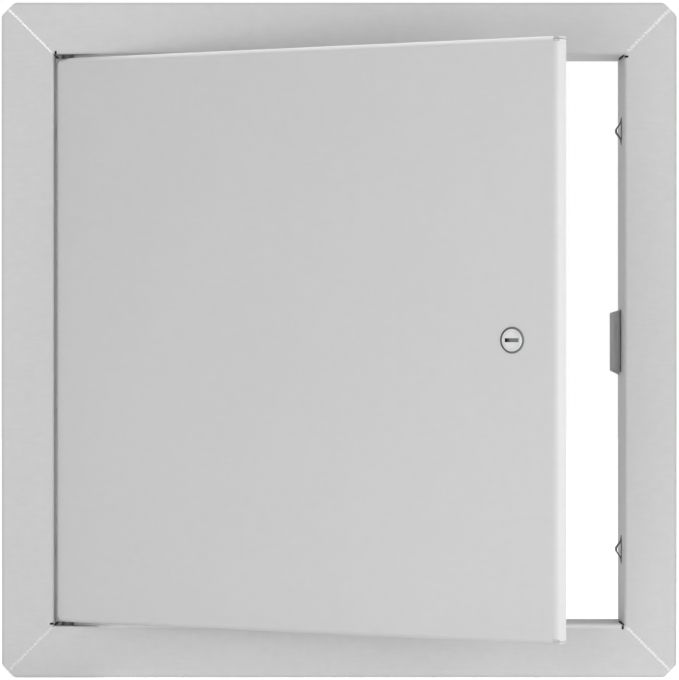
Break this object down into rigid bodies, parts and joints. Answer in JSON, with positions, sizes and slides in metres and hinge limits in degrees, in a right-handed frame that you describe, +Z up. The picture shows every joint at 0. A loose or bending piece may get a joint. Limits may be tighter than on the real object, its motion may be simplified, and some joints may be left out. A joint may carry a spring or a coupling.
{
  "type": "access panel",
  "caption": "Square flush access panel: bent-sheet frame with mitred face flange, pan door on concealed pivot pins, and a slotted cam latch that turns in behind a keeper.",
  "frame": {"origin": "middle of the bottom flange's back face, which lies on the wall or ceiling surface; the middle of the opening is 304.8 mm above it", "axes": "+X to the latch side seen from the room, +Y into the wall or ceiling void, +Z up along the hinge axis as the panel is shown upright"},
  "size_m": [0.6604, 0.3606, 0.6604],
  "materials": {
    "primed_steel": "satin light grey primer",
    "zinc_plate": "zinc plated",
    "nylon": "matte dark grey"
  },
  "bodies": {
    "frame": {"frame_top_rail": "primed_steel", "frame_bottom_rail": "primed_steel", "frame_hinge_stile": "primed_steel", "frame_latch_stile": "primed_steel", "corner_welds": "primed_steel", "latch_keeper": "primed_steel", "upper_door_stop": "primed_steel", "lower_door_stop": "primed_steel", "upper_pivot_bush": "nylon", "lower_pivot_bush": "nylon"},
    "door": {"door_pan": "primed_steel", "upper_pivot_bracket": "primed_steel", "lower_pivot_bracket": "primed_steel", "upper_hinge_pin": "zinc_plate", "lower_hinge_pin": "zinc_plate", "hinge_pin_clips": "zinc_plate", "latch_bezel": "nylon", "latch_body": "zinc_plate", "latch_mount_nut": "zinc_plate"},
    "latch": {"latch_plug": "zinc_plate", "latch_stop_washer": "zinc_plate", "latch_cam": "zinc_plate", "cam_lock_washer": "zinc_plate", "cam_nut": "zinc_plate"}
  },
  "joints": [
    {"name": "door_swing", "type": "hinge", "parent": "frame", "child": "door", "pos_m": [-0.26603, 0.00648, 0.3048], "axis": [0, 0, -1], "range_deg": [-30.4, 87.6]},
    {"name": "latch_turn", "type": "hinge", "parent": "door", "child": "latch", "pos_m": [0.15795, -0.25154, 0.3048], "axis": [-0.506, -0.8625, 0], "range_deg": [0, 90]}
  ]
}
